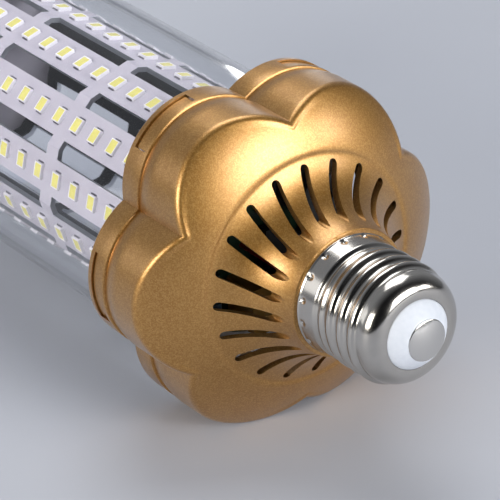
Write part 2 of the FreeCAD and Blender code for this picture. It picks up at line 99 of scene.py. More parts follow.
def add_piece(name, points, faces, materials, face_materials=None, sharp_degrees=35):
    """A piece from points in millimetres and faces: merged, turned outwards, smooth up to an angle."""
    mesh = bpy.data.meshes.new(name)
    mesh.from_pydata((points.reshape(-1, 3) * 0.001).tolist(), [], [list(face) for face in faces])
    for material in materials:
        mesh.materials.append(material)
    if face_materials is not None:
        mesh.polygons.foreach_set("material_index", np.asarray(face_materials, np.int32))
    work = bmesh.new()
    work.from_mesh(mesh)
    bmesh.ops.remove_doubles(work, verts=work.verts, dist=1e-7)
    bmesh.ops.recalc_face_normals(work, faces=work.faces)
    work.to_mesh(mesh)
    work.free()
    mesh.shade_smooth()
    mesh.set_sharp_from_angle(angle=np.radians(sharp_degrees))
    piece = bpy.data.objects.new(name, mesh)
    bpy.context.scene.collection.objects.link(piece)
    return piece


def linear(hex_colour):
    """Linear colour of an sRGB hex colour."""
    value = np.array([int(hex_colour[i:i + 2], 16) for i in (1, 3, 5)]) / 255
    rgb = np.where(value <= 0.04045, value / 12.92, ((value + 0.055) / 1.055) ** 2.4)
    return (*rgb.tolist(), 1.0)


def start_material(name):
    """A new material with its node tree and its main shader."""
    material = bpy.data.materials.new(name)
    material.use_nodes = True
    return material, material.node_tree, material.node_tree.nodes["Principled BSDF"]


def add_node(tree, kind, inputs, **settings):
    """A node of a kind with its settings; an input given as a socket is linked, any other value is set."""
    node = tree.nodes.new("ShaderNode" + kind)
    for name, value in settings.items():
        setattr(node, name, value)
    for name, value in inputs.items():
        if isinstance(value, bpy.types.NodeSocket):
            tree.links.new(value, node.inputs[name])
        else:
            node.inputs[name].default_value = value
    return node


# Bright nickel: mirror-like, with faint lines around it from rolling and a slight cloudiness.
# The lines are drawn 0.17 mm wide, coarser than real, to show.
nickel, tree, shader = start_material("bright nickel plate")
spot = add_node(tree, "TexCoord", {}).outputs["Object"]
lines_size = (1000 / 0.17, 1000 / 6.7, 1000 / 6.7)
lines_at = add_node(tree, "Mapping", {"Vector": spot, "Scale": lines_size}).outputs[0]
lines = add_node(tree, "TexNoise", {"Vector": lines_at, "Scale": 1.0, "Detail": 3.0}).outputs[0]
cloud = add_node(tree, "TexNoise", {"Vector": spot, "Scale": 1000 / 4.5, "Detail": 2.0}).outputs[0]
rough = add_node(tree, "MapRange", {0: cloud, 3: 0.10, 4: 0.24}).outputs[0]
tone = add_node(
    tree, "Mix", {0: cloud, 6: linear("#B4B0A9"), 7: linear("#C8C4BE")}, data_type="RGBA").outputs[2]
relief = add_node(tree, "Bump", {"Height": lines, "Strength": 0.06, "Distance": 0.0001}).outputs[0]
tree.links.new(tone, shader.inputs["Base Color"])
tree.links.new(rough, shader.inputs["Roughness"])
tree.links.new(relief, shader.inputs["Normal"])
shader.inputs["Metallic"].default_value = 1.0

# The thread's crests and roots are arcs of one circle, carried up a helix, and it fades in and out.
# The skirt below it tapers slightly, with a small lip at the bottom and a ring of round dents.
shell_columns = 320
azimuth = turn_angles(shell_columns)[None, :]
skirt_rows = np.linspace(0, 4.2, 24)
thread_rows = np.linspace(4.3, thread_end, 140)
z_side = np.concatenate([skirt_rows, thread_rows])[:, None]
from_crest = ((z_side - crest_z) / thread_pitch - azimuth / (2 * np.pi) + 0.25) % 1 - 0.25
on_crest = from_crest < 0.25
arc_r = (thread_pitch ** 2 / 16 + thread_depth ** 2 / 4) / thread_depth
arc_off = np.where(on_crest, from_crest, from_crest - 0.5) * thread_pitch
arc_rise = np.sqrt(arc_r ** 2 - arc_off ** 2) - arc_r + thread_depth / 2
wave = 0.5 + np.where(on_crest, arc_rise, -arc_rise) / thread_depth
fade = smooth_step(thread_start - 0.3, thread_start + 1.9, z_side)
fade = fade * smooth_step(thread_end + 0.3, thread_end - 1.5, z_side)
r_side = minor_r + thread_depth * wave * fade
skirt_taper = skirt_r - 0.12 - skirt_slope * np.minimum(z_side, thread_start)
r_side = r_side + (skirt_taper - minor_r) * smooth_step(thread_start + 0.1, thread_start - 1.2, z_side)
lip = lip_height * np.exp(-(((z_side - lip_z) / 0.3) ** 2))
stake_turn = (azimuth * stakes / (2 * np.pi) + 0.2) % 1 - 0.5
stake_far = np.hypot(stake_turn * 2 * np.pi * skirt_r / stakes, (z_side - stake_z) * 0.8)
r_side = r_side + lip - stake_depth * np.exp(-((stake_far / stake_r) ** 2))
turn_in = np.linspace(0, np.pi / 2, 14)[1:, None]
r_top = minor_r - shoulder_r + shoulder_r * np.cos(turn_in)
z_top = thread_end + shoulder_r * np.sin(turn_in)
shell_top = thread_end + shoulder_r
turn_back = np.radians([90.0, 45.0, 0.0])
r_back = minor_r - shoulder_r + (shoulder_r - shell_wall) * np.cos(turn_back)
z_back = thread_end + (shoulder_r - shell_wall) * np.sin(turn_back)
skirt_bore = skirt_r - 0.6
r_inside = [shell_hole_r, shell_hole_r, *r_back, minor_r - shell_wall, skirt_bore, skirt_bore]
z_inside = [shell_top, shell_top - shell_wall, *z_back, thread_start, 3.85, 0.0]
across = np.ones_like(azimuth)
shell_r = np.concatenate([r_side, r_top * across, np.array(r_inside)[:, None] * across])
shell_z = np.concatenate([z_side * across, z_top * across, np.array(z_inside)[:, None] * across])
shell_faces = grid_faces(len(shell_r), shell_columns, True)
shell_points = polar(shell_r, azimuth, shell_z)
screw_shell = add_piece("rolled_screw_shell", shell_points, shell_faces, [nickel], None, 40)
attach(screw_shell, "root")
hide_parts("screw_shell")

# Insulator at the end of the cap: a pressed white ceramic-filled plug with a conical nose,
# held under the shell's rolled edge.
insulator_low = 20.84
rivet_hole_r = 1.6
contact_seat = 26.0


def add_turned(name, profile, material):
    """A profile of radii and heights carried round the axis; an end on the axis closes in a point."""
    profile = np.array(profile, float)
    rows = polar(profile[:, :1], turn_angles(96)[None, :], profile[:, 1:])
    closed = profile[0, 0] > 0 and profile[-1, 0] > 0
    return add_piece(name, rows, grid_faces(len(rows), 96, closed), [material])


# White insulator: cool white, slightly glossy, with a faint speckle and shallow pressing marks.
insulator_white, tree, shader = start_material("white pressed insulator")
spot = add_node(tree, "TexCoord", {}).outputs["Object"]
speckle = add_node(tree, "TexNoise", {"Vector": spot, "Scale": 1000 / 1.1, "Detail": 4.0}).outputs[0]
tone = add_node(
    tree, "Mix", {0: speckle, 6: linear("#D2D8E2"), 7: linear("#E3E7EE")}, data_type="RGBA").outputs[2]
relief = add_node(tree, "Bump", {"Height": speckle, "Strength": 0.1, "Distance": 0.0002}).outputs[0]
tree.links.new(tone, shader.inputs["Base Color"])
tree.links.new(relief, shader.inputs["Normal"])
shader.inputs["Roughness"].default_value = 0.38
shader.inputs["Subsurface Weight"].default_value = 0.15
shader.inputs["Subsurface Radius"].default_value = (0.001, 0.001, 0.001)

insulator = add_turned("insulator_plug", [
    (rivet_hole_r, insulator_low), (8.2, insulator_low), (8.2, shell_top - shell_wall),
    (7.7, shell_top - shell_wall), (7.7, shell_top), (7.6, 23.12), (6.95, 23.85), (6.25, 24.56),
    (5.5, 25.27), (4.95, 25.78), (4.7, 25.97), (4.5, contact_seat), (rivet_hole_r, contact_seat)],
    insulator_white)
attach(insulator, "root")
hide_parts("cap_insulator")

# Centre contact: a pressed disc of nickel-plated brass with a domed face and a rounded edge.
# Its stem is riveted through the insulator.
contact_r = 4.5
contact_top = 27.0
contact_ball = 13.0
rivet_r = 1.5
rivet_end = 20.4

# Scratched nickel: paler than the shell, with fine scratches from handling that blur its reflections.
contact_nickel, tree, shader = start_material("scratched nickel plate")
spot = add_node(tree, "TexCoord", {}).outputs["Object"]
scratch_size = (1000 / 1.1, 1000 / 0.11, 1000 / 1.4)
scratch_at = add_node(
    tree, "Mapping", {"Vector": spot, "Rotation": (0.7, 0.2, 0.4), "Scale": scratch_size}).outputs[0]
scratch = add_node(tree, "TexNoise", {"Vector": scratch_at, "Scale": 1.0, "Detail": 4.0}).outputs[0]
rough = add_node(tree, "MapRange", {0: scratch, 3: 0.08, 4: 0.24}).outputs[0]
relief = add_node(tree, "Bump", {"Height": scratch, "Strength": 0.15, "Distance": 0.0001}).outputs[0]
shader.inputs["Base Color"].default_value = linear("#D8D5D0")
tree.links.new(rough, shader.inputs["Roughness"])
tree.links.new(relief, shader.inputs["Normal"])
shader.inputs["Metallic"].default_value = 1.0

dome_turn = np.linspace(0, np.arcsin(contact_r / contact_ball), 28)
dome_z = contact_top - contact_ball * (1 - np.cos(dome_turn))
dome = np.stack([contact_ball * np.sin(dome_turn), dome_z], -1).tolist()
contact_edge = [(contact_r + 0.1, 26.14), (contact_r + 0.15, 26.06), (contact_r, contact_seat)]
rivet = [(rivet_r, contact_seat), (rivet_r, rivet_end), (0, rivet_end)]
contact = add_turned("contact_disc", dome + contact_edge + rivet, contact_nickel)
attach(contact, "root")
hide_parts("centre_contact")

# Housing: one moulded plastic shell with a flared neck, a soft crease and a domed six-lobed skirt,
# sprayed with champagne-gold metallic paint. Twenty leaning air slots are cut through the flare.
lobes = 6
lobe_centre = 20.431
lobe_arc = 18.569
lobe_r = lobe_centre + lobe_arc
edge_round = 2.2
spigot_r = 12.9
spigot_bore = 11.3
spigot_top = 3.85
neck_r = 14.4
neck_inside = -0.79
crease_r = 26.5
crease_z = -14.4
dome_drop = 7.7
dome_bulge = 0.7
wall = 1.6
band_z = -33.6
rim_z = -39.8
vents = 20
vent_half = 1.0
vent_near = 15.9
vent_far = 23.7
vent_lean = np.radians(8.0)
window_half = 7.7
window_low = -38.3
window_high = -34.7
crisp_degrees = 32


def off_lobe(azimuth):
    """Azimuth from the middle of the nearest lobe."""
    step = 2 * np.pi / lobes
    return azimuth % step - step / 2


def lobed_radius(azimuth, inset):
    """Radius of the six-lobed outline moved in by an inset: the far side of the nearest lobe's circle."""
    off = off_lobe(azimuth)
    return lobe_centre * np.cos(off) + np.sqrt((lobe_arc - inset) ** 2 - (lobe_centre * np.sin(off)) ** 2)


def dome_height(r):
    """Height of the dome at a radius: a circle through the crease, a raised middle and the lobes' edge."""
    run = lobe_r - crease_r
    chord = np.hypot(run, dome_drop)
    circle_r = (chord ** 2 / 4 + dome_bulge ** 2) / (2 * dome_bulge)
    middle_r = crease_r + run / 2 + (dome_bulge - circle_r) * dome_drop / chord
    middle_z = crease_z - dome_drop / 2 + (dome_bulge - circle_r) * run / chord
    return middle_z + np.sqrt(circle_r ** 2 - (r - middle_r) ** 2)


# Satin gold paint: metal flakes in a brown-gold lacquer under a satin clear coat, so it is cream where it
# catches the light and brown in the shade. The flakes are drawn at 0.24 mm, coarser than real, to show.
gold_paint, tree, shader = start_material("champagne gold satin paint")
spot = add_node(tree, "TexCoord", {}).outputs["Object"]
grain_look = {"Vector": spot, "Scale": 1000 / 0.43, "Detail": 3.0, "Roughness": 0.7}
grain = add_node(tree, "TexNoise", grain_look).outputs[0]
mottle = add_node(tree, "TexNoise", {"Vector": spot, "Scale": 1000 / 8.3, "Detail": 3.0}).outputs[0]
flake = add_node(tree, "TexVoronoi", {"Vector": spot, "Scale": 1000 / 0.24}).outputs["Color"]
flake_value = add_node(tree, "SeparateColor", {0: flake}).outputs[0]
tone = add_node(
    tree, "Mix", {0: mottle, 6: linear("#9F6C22"), 7: linear("#AF7E34")}, data_type="RGBA").outputs[2]
sparkle = add_node(tree, "MapRange", {0: flake_value, 1: 0.3, 2: 1.0, 4: 0.4}).outputs[0]
paint = add_node(tree, "Mix", {0: sparkle, 6: tone, 7: linear("#DDB268")}, data_type="RGBA").outputs[2]
rough = add_node(tree, "MapRange", {0: grain, 1: 0.3, 2: 0.7, 3: 0.33, 4: 0.46}).outputs[0]
relief = add_node(tree, "Bump", {"Height": grain, "Strength": 0.13, "Distance": 0.0002}).outputs[0]
tree.links.new(paint, shader.inputs["Base Color"])
tree.links.new(rough, shader.inputs["Roughness"])
tree.links.new(relief, shader.inputs["Normal"])
shader.inputs["Metallic"].default_value = 0.9
shader.inputs["Coat Weight"].default_value = 1.0
shader.inputs["Coat Roughness"].default_value = 0.31
shader.inputs["Coat IOR"].default_value = 1.57

# The skin's rows run from the spigot down the flare, over the crease and the dome, round the lobes' edge,
# down the wall and round the rim, and then back up the inside to the spigot's bore.
columns = lobes * 36
azimuth = turn_angles(columns)[None, :]
across = np.ones_like(azimuth)
rows_r = []
rows_z = []


def add_rows(r, z):
    """Adds rows to the housing's skin, one or many, as radii and heights."""
    r, z, _ = np.broadcast_arrays(np.atleast_2d(r), np.atleast_2d(z), across)
    rows_r.append(r)
    rows_z.append(z)


def arc_points(start, middle, end, count):
    """Points along the circle through three points of a profile, from the first to the last."""
    start, middle, end = (np.array(p) for p in (start, middle, end))
    sides = 2 * np.array([middle - start, end - start])
    centre = np.linalg.solve(sides, [middle @ middle - start @ start, end @ end - start @ start])
    from_angle, over_angle, to_angle = (np.arctan2(*(p - centre)[::-1]) for p in (start, middle, end))
    over = (over_angle - from_angle + np.pi) % (2 * np.pi) - np.pi
    turn = over + (to_angle - over_angle + np.pi) % (2 * np.pi) - np.pi
    angle = from_angle + turn * np.linspace(0, 1, count)
    circle_r = np.hypot(*(start - centre))
    return (centre[0] + circle_r * np.cos(angle))[:, None], (centre[1] + circle_r * np.sin(angle))[:, None]


for r, z in [(spigot_r, spigot_top), (spigot_r, 0.0), (neck_r - 0.2, 0.0), (neck_r - 0.05, -0.12)]:
    add_rows(r, z)
flare_r, flare_z = arc_points((neck_r, -0.5), (18.547, -9.222), (crease_r, crease_z - 0.3), 44)
on_flare = flare_z[:, 0] > crease_z + 0.02
add_rows(flare_r[on_flare], flare_z[on_flare])
add_rows(crease_r - 0.4, crease_z)
add_rows(crease_r, crease_z - 0.01)
lobe_lean = np.arcsin(np.clip(lobe_centre * np.sin(off_lobe(azimuth)) / lobe_arc, -1, 1))
wall_r = lobed_radius(azimuth, 0)
slope = (dome_height(wall_r - 1.5) - dome_height(wall_r - 0.5)) * np.cos(lobe_lean)
lean = np.arctan(slope)
tangent_inset = edge_round * (1 - np.sin(lean))
spread = np.linspace(0, 1, 14)[1:-1, None]
near_edge = lobed_radius(azimuth, tangent_inset)
dome_r = crease_r + (near_edge - crease_r) * spread
add_rows(dome_r, dome_height(dome_r))
round_turn = np.linspace(0, 1, 9)[:, None]
round_angle = lean + (np.pi / 2 - lean) * round_turn
round_inset = edge_round * (1 - np.sin(round_angle))
ball_z = dome_height(lobed_radius(azimuth, edge_round)) - edge_round / np.cos(lean)
add_rows(lobed_radius(azimuth, round_inset), ball_z + edge_round * np.cos(round_angle))
add_rows(wall_r, ball_z + (band_z + 4.0 - ball_z) * np.linspace(0.15, 1, 6)[:, None])
rim_profile = [
    (0.12, band_z + 3.0), (0.34, band_z + 1.8), (0.58, band_z + 0.7), (0.7, band_z + 0.14),
    (0.68, band_z + 0.04), (0.34, band_z - 0.04), (0.22, band_z - 0.14), (0.18, band_z - 0.32),
    (0.22, band_z - 3.0), (0.34, rim_z + 0.3), (0.55, rim_z), (wall - 0.1, rim_z), (wall, rim_z + 0.1)]
for inset, z in rim_profile:
    add_rows(lobed_radius(azimuth, inset), z)
inner_r = lobed_radius(azimuth, wall)
add_rows(inner_r, band_z)
add_rows(inner_r, dome_height(inner_r) - wall)
inner_dome = crease_r + (inner_r - crease_r) * np.linspace(0.85, 0, 8)[:, None]
add_rows(inner_dome, dome_height(inner_dome) - wall)
inside_r, inside_z = arc_points((crease_r, crease_z - wall), (17.329, -10.26), (12.826, neck_inside), 24)
add_rows(inside_r[1:], inside_z[1:])
add_rows(spigot_bore, neck_inside)
add_rows(spigot_bore, spigot_top)
skin_r = np.concatenate(rows_r)
skin_z = np.concatenate(rows_z)
skin_faces = grid_faces(len(skin_r), columns, True)
skin_points = polar(skin_r, azimuth, skin_z)
housing = add_piece("lobed_housing", skin_points, skin_faces, [gold_paint], None, crisp_degrees)


def bar_faces(count, corners):
    """Faces of bars whose points run around a low outline and then a high one: sides and two ends."""
    j = np.arange(corners)
    sides = np.stack([j, (j + 1) % corners, (j + 1) % corners + corners, j + corners], -1)
    first = np.arange(count)[:, None, None] * 2 * corners
    ends = np.stack([j[::-1], j + corners])
    return (sides + first).reshape(-1, 4).tolist() + (ends + first).reshape(-1, corners).tolist()


def add_cutter(name, outline_x, outline_y, low_z, high_z, turns):
    """Bars along the axis with one outline, repeated at several turns, to cut the housing with."""
    outline = np.stack([outline_x, outline_y], -1)
    cosine = np.cos(turns)[:, None]
    sine = np.sin(turns)[:, None]
    x = outline[None, :, 0] * cosine - outline[None, :, 1] * sine
    y = outline[None, :, 0] * sine + outline[None, :, 1] * cosine
    points = np.stack([place(x, y, np.full_like(x, low_z)), place(x, y, np.full_like(x, high_z))], 1)
    return add_piece(name, points, bar_faces(len(turns), len(outline)), [gold_paint])


# The air slots are round-ended bars that lean from the radius, and the snap windows are square ones.
vent_outer = np.array([vent_far, 0.0])
vent_inner = vent_near * np.array([np.cos(vent_lean), np.sin(vent_lean)])
vent_run = np.arctan2(*(vent_outer - vent_inner)[::-1])
end_turn = np.linspace(-np.pi / 2, np.pi / 2, 9) + vent_run
end_x = vent_half * np.cos(end_turn)
end_y = vent_half * np.sin(end_turn)
vent_x = np.concatenate([vent_outer[0] + end_x, vent_inner[0] - end_x])
vent_y = np.concatenate([vent_outer[1] + end_y, vent_inner[1] - end_y])
vent_bars = add_cutter("vent_cutters", vent_x, vent_y, -19.5, 0.5, turn_angles(vents))
window_x = np.array([30.0, 45.0, 45.0, 30.0])
window_y = window_half * np.array([-1.0, -1.0, 1.0, 1.0])
lobe_middles = turn_angles(lobes) + np.pi / lobes
window_bars = add_cutter("window_cutters", window_x, window_y, window_low, window_high, lobe_middles)
for cutter in (vent_bars, window_bars):
    cut = housing.modifiers.new(cutter.name, "BOOLEAN")
    cut.object = cutter
    cut.operation = "DIFFERENCE"
    cut.solver = "EXACT"
bpy.context.view_layer.update()
cut_mesh = bpy.data.meshes.new_from_object(housing.evaluated_get(bpy.context.evaluated_depsgraph_get()))
housing.modifiers.clear()
housing.data = cut_mesh
for cutter in (vent_bars, window_bars):
    bpy.data.objects.remove(cutter)
cut_mesh.shade_smooth()
cut_mesh.set_sharp_from_angle(angle=np.radians(crisp_degrees))
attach(housing, "root")
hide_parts("lamp_housing")

# Screw posts: three bored plastic posts stand inside the dome for the base plate's screws.
# They are moulded in one piece with the housing and painted with it.
post_circle = 26.844
post_bore = 1.1
post_outer = 2.3
bore_floor = -28.2
post_end = -37.2
post_rim = turn_angles(24)[None, None, :]
post_turn = np.radians([45.0, 165.0, 285.0])[:, None, None]
post_r = np.array([0.0, post_bore, post_bore, post_outer, post_outer, 0.0])[None, :, None]
post_x = post_circle * np.cos(post_turn) + post_r * np.cos(post_rim)
post_y = post_circle * np.sin(post_turn) + post_r * np.sin(post_rim)
post_z = np.array([bore_floor, bore_floor, post_end, post_end, np.nan, np.nan])[None, :, None]
post_top = dome_height(np.maximum(np.hypot(post_x, post_y), crease_r)) - wall / 2
post_z = np.where(np.isnan(post_z), post_top, post_z)
post_faces = grid_faces(6, 24, False)[None] + (np.arange(3) * 6 * 24)[:, None, None]
posts = add_piece("screw_posts", place(post_x, post_y, post_z), post_faces.reshape(-1, 4), [gold_paint])
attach(posts, "root")
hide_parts("lamp_housing")

# Clear cover: a moulded polycarbonate tube with a closed end. Its lobed flange sits inside the housing
# and its six lugs snap into the housing's windows.
cover_r = 30.943
cover_wall = 1.5
cover_end = -158.1
cover_round = 5.0
flange_low = -37.0
flange_high = -35.0
flange_gap = 0.3
lug_half = 7.55
lug_inset = 0.75

# Clear plastic: almost colourless, with sharp reflections and faint flow lines from moulding.
clear_plastic, tree, shader = start_material("clear polycarbonate")
spot = add_node(tree, "TexCoord", {}).outputs["Object"]
flow_size = (1000 / 83, 1000 / 9, 1000 / 9)
flow_at = add_node(tree, "Mapping", {"Vector": spot, "Scale": flow_size}).outputs[0]
flow = add_node(tree, "TexNoise", {"Vector": flow_at, "Scale": 1.0, "Detail": 2.0}).outputs[0]
relief = add_node(tree, "Bump", {"Height": flow, "Strength": 0.05, "Distance": 0.001}).outputs[0]
tree.links.new(relief, shader.inputs["Normal"])
shader.inputs["Base Color"].default_value = linear("#F8F9FB")
shader.inputs["Roughness"].default_value = 0.03
shader.inputs["IOR"].default_value = 1.45
shader.inputs["Transmission Weight"].default_value = 1.0
see_through = add_node(tree, "BsdfTransparent", {"Color": linear("#F4F5F8")}).outputs[0]
lamp_ray = add_node(tree, "LightPath", {}).outputs["Is Shadow Ray"]
mixed = add_node(tree, "MixShader", {0: lamp_ray, 1: shader.outputs[0], 2: see_through}).outputs[0]
tree.links.new(mixed, tree.nodes["Material Output"].inputs["Surface"])

# The rows run from the middle of the closed end up the outside, round the flange and back down the bore.
# Each side of a lug has two close columns, so that it stands straight. The lugs carry gold overspray.
half_lobe = np.pi / lobes
lug_turn = np.arcsin(lug_half / (lobe_r - lug_inset))
lug_sides = [-lug_turn - 0.002, -lug_turn, lug_turn, lug_turn + 0.002]
lobe_turns = np.sort(np.concatenate([np.linspace(-half_lobe, half_lobe, 40, False), lug_sides]))
azimuth = (lobe_middles[:, None] + lobe_turns).reshape(1, -1)
columns = azimuth.size
across = np.ones_like(azimuth)
flange_r = lobed_radius(azimuth, wall + flange_gap)
lug_r = lobed_radius(azimuth, lug_inset)
on_lug = np.abs(off_lobe(azimuth)) < lug_turn + 0.001
edge_r = np.where(on_lug, lug_r, flange_r)
bore_r = cover_r - cover_wall
corner = np.linspace(np.pi / 2, 0, 10)[:, None]
outer_corner = cover_r - cover_round + cover_round * np.cos(corner)
outer_rows = [np.zeros((1, 1)), outer_corner, np.full((6, 1), cover_r)]
outer_at = [np.full((1, 1), cover_end), cover_end + cover_round - cover_round * np.sin(corner),
            np.linspace(cover_end + 20, flange_low, 6)[:, None]]
inner_round = cover_round - cover_wall
inner_corner = bore_r - inner_round + inner_round * np.cos(corner[::-1])
inner_rows = [np.full((6, 1), bore_r), inner_corner, np.zeros((1, 1))]
floor_z = cover_end + cover_wall
inner_at = [np.linspace(flange_high, cover_end + 20, 6)[:, None],
            floor_z + inner_round - inner_round * np.sin(corner[::-1]), np.full((1, 1), floor_z)]
cover_rows = [r * across for r in outer_rows] + [edge_r, edge_r] + [r * across for r in inner_rows]
edge_low = np.where(on_lug, flange_low - 1.05, flange_low)
edge_high = np.where(on_lug, flange_high + 0.1, flange_high)
cover_at = [z * across for z in outer_at + [edge_low, edge_high] + inner_at]
skin_r = np.concatenate(cover_rows)
skin_z = np.concatenate(cover_at)
cover_faces = grid_faces(len(skin_r), columns, False)
near_lug = on_lug.ravel()[cover_faces % columns].any(1)
oversprayed = near_lug & (skin_r.ravel()[cover_faces].max(1) > flange_r.min() + 0.5)
cover = add_piece(
    "clear_tube", polar(skin_r, azimuth, skin_z), cover_faces, [clear_plastic, gold_paint], oversprayed, 40)
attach(cover, "root")
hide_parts("clear_cover")

# Light board: one aluminium sheet with a white printed mask, slotted along every fold and bent into
# a twelve-sided tube. The cut edges are bare metal, and the inside is painted near-black as painted shade
# of the unlit tube.


def give_material(node_name, material):
    """Gives a piece of the fixed frame its finished material."""
    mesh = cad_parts[node_name].data
    mesh.materials.clear()
    mesh.materials.append(material)


# Board: glossy cool-white mask with a faint ripple on the faces, bright satin metal on the cut edges
# and near-black metal inside as painted shade, told apart by how far a face is turned out from the axis.
board_mask, tree, shader = start_material("white mask on aluminium")
spot = add_node(tree, "TexCoord", {}).outputs["Object"]
axis_spot = (0, 0, axis_z * 0.001)
from_axis = add_node(tree, "VectorMath", {0: spot, 1: axis_spot}, operation="SUBTRACT").outputs[0]
flat_out = add_node(tree, "VectorMath", {0: from_axis, 1: (0, 1, 1)}, operation="MULTIPLY").outputs[0]
outward = add_node(tree, "VectorMath", {0: flat_out}, operation="NORMALIZE").outputs[0]
facing = add_node(tree, "NewGeometry", {}).outputs["True Normal"]
turned_out = add_node(tree, "VectorMath", {0: outward, 1: facing}, operation="DOT_PRODUCT").outputs[1]
is_face = add_node(tree, "MapRange", {0: turned_out, 1: 0.80, 2: 0.88}).outputs[0]
ripple = add_node(tree, "TexNoise", {"Vector": spot, "Scale": 1000 / 6.2, "Detail": 2.0}).outputs[0]
mask_tone = add_node(
    tree, "Mix", {0: ripple, 6: linear("#ACA7B2"), 7: linear("#BAB5BF")}, data_type="RGBA").outputs[2]
# Faces turned in to the axis are painted near-black as painted shade; the cut edges keep the bare metal's
# pale tone.
is_cut = add_node(tree, "MapRange", {0: turned_out, 1: -0.6, 2: -0.2}).outputs[0]
edge_metal_or_painted_shade = add_node(
    tree, "Mix", {0: is_cut, 6: linear("#212328"), 7: linear("#B9BCC3")}, data_type="RGBA").outputs[2]
tone = add_node(tree, "Mix", {0: is_face, 6: edge_metal_or_painted_shade, 7: mask_tone}, data_type="RGBA").outputs[2]
bare = add_node(tree, "MapRange", {0: is_face, 3: 1.0, 4: 0.0}).outputs[0]
rough = add_node(tree, "MapRange", {0: is_face, 3: 0.42, 4: 0.25}).outputs[0]
relief = add_node(tree, "Bump", {"Height": ripple, "Strength": 0.08, "Distance": 0.0005}).outputs[0]
tree.links.new(tone, shader.inputs["Base Color"])
tree.links.new(bare, shader.inputs["Metallic"])
tree.links.new(rough, shader.inputs["Roughness"])
tree.links.new(relief, shader.inputs["Normal"])
give_material("led_board", board_mask)

# End board: a flat twelve-sided plate of the same masked aluminium, fixed on the end of the folded tube.
# It carries two rings of chips and has the same glossy cool-white face.
end_mask, tree, shader = start_material("white mask on end board")
spot = add_node(tree, "TexCoord", {}).outputs["Object"]
ripple = add_node(tree, "TexNoise", {"Vector": spot, "Scale": 1000 / 6.2, "Detail": 2.0}).outputs[0]
tone = add_node(
    tree, "Mix", {0: ripple, 6: linear("#ACA7B2"), 7: linear("#BAB5BF")}, data_type="RGBA").outputs[2]
relief = add_node(tree, "Bump", {"Height": ripple, "Strength": 0.08, "Distance": 0.0005}).outputs[0]
tree.links.new(tone, shader.inputs["Base Color"])
tree.links.new(relief, shader.inputs["Normal"])
shader.inputs["Roughness"].default_value = 0.25
give_material("end_board", end_mask)

# Light chips: moulded white frames with a cup of yellow phosphor and two soldered tabs,
# fifteen along every face of the tube and two rings on its end.
board_faces = 12
chips_per_row = 15
face_r = 24.245
end_face = -149.8
first_chip = -44.9
chip_pitch = 7.0
end_rings = [(12, 17.0), (6, 8.5)]

# Chip frame: matt cool white with a fine grain.
chip_white, tree, shader = start_material("white chip frame")
spot = add_node(tree, "TexCoord", {}).outputs["Object"]
grain = add_node(tree, "TexNoise", {"Vector": spot, "Scale": 1000 / 0.33, "Detail": 2.0}).outputs[0]
tone = add_node(
    tree, "Mix", {0: grain, 6: linear("#D3D0D6"), 7: linear("#E2DFE4")}, data_type="RGBA").outputs[2]
tree.links.new(tone, shader.inputs["Base Color"])
shader.inputs["Roughness"].default_value = 0.4

# Phosphor: lemon yellow in clear glossy resin, a little uneven.
phosphor, tree, shader = start_material("yellow phosphor resin")
spot = add_node(tree, "TexCoord", {}).outputs["Object"]
grain = add_node(tree, "TexNoise", {"Vector": spot, "Scale": 1000 / 0.7, "Detail": 3.0}).outputs[0]
tone = add_node(
    tree, "Mix", {0: grain, 6: linear("#D0C55C"), 7: linear("#DFD988")}, data_type="RGBA").outputs[2]
tree.links.new(tone, shader.inputs["Base Color"])
shader.inputs["Roughness"].default_value = 0.22

# Solder: grey metal with a rough melt.
solder, tree, shader = start_material("tin solder")
spot = add_node(tree, "TexCoord", {}).outputs["Object"]
grain = add_node(tree, "TexNoise", {"Vector": spot, "Scale": 1000 / 0.5, "Detail": 2.0}).outputs[0]
rough = add_node(tree, "MapRange", {0: grain, 3: 0.2, 4: 0.5}).outputs[0]
tree.links.new(rough, shader.inputs["Roughness"])
shader.inputs["Base Color"].default_value = linear("#77727C")
shader.inputs["Metallic"].default_value = 1.0

# One chip: five oblong rings from the foot of the frame over its rim to the phosphor, and two sloped tabs.
corner_u = np.array([-1.0, 1.0, 1.0, -1.0])
corner_v = np.array([-1.0, -1.0, 1.0, 1.0])
frame_rings = np.array([
    (1.75, 1.40, 0.0), (1.72, 1.37, 0.70), (1.66, 1.31, 0.80), (1.52, 1.17, 0.80), (1.46, 1.11, 0.72)])
ring_u = frame_rings[:, :1] * corner_u
ring_v = frame_rings[:, 1:2] * corner_v
ring_w = frame_rings[:, 2:] * np.ones(4)
frame_points = np.stack([ring_u, ring_v, ring_w], -1).reshape(-1, 3)
tab_u = np.array([1.70, 2.05, 2.05, 1.70])
tab_v = np.array([-0.95, -0.95, 0.95, 0.95])
tab_low = np.stack([tab_u, tab_v, np.zeros(4)], -1)
tab_high = np.stack([tab_u, tab_v, np.array([0.3, 0.08, 0.08, 0.3])], -1)
tab_points = np.concatenate([tab_low, tab_high])
chip_points = np.concatenate([frame_points, tab_points, tab_points * (-1, -1, 1)])
frame_faces = np.concatenate([grid_faces(5, 4, False), [[16, 17, 18, 19]], [[3, 2, 1, 0]]])
tab_faces = np.concatenate([grid_faces(2, 4, False), [[4, 5, 6, 7]], [[3, 2, 1, 0]]]) + len(frame_points)
chip_faces = np.concatenate([frame_faces, tab_faces, tab_faces + len(tab_points)])
chip_kinds = np.array([0] * (len(frame_faces) - 2) + [1, 0] + [2] * 2 * len(tab_faces))


def add_chips(name, centres, across_way, along_way, up_way):
    """Copies of the chip at many centres, each with its own three directions, as one piece."""
    u, v, w = chip_points[None, :, 0, None], chip_points[None, :, 1, None], chip_points[None, :, 2, None]
    points = centres[:, None] + u * across_way[:, None] + v * along_way[:, None] + w * up_way[:, None]
    first = np.arange(len(centres))[:, None, None] * len(chip_points)
    faces = (chip_faces + first).reshape(-1, 4)
    kinds = np.tile(chip_kinds, len(centres))
    piece = add_piece(name, place(points[..., 0], points[..., 1], points[..., 2]), faces,
                      [chip_white, phosphor, solder], kinds, 20)
    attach(piece, "root")
    return piece


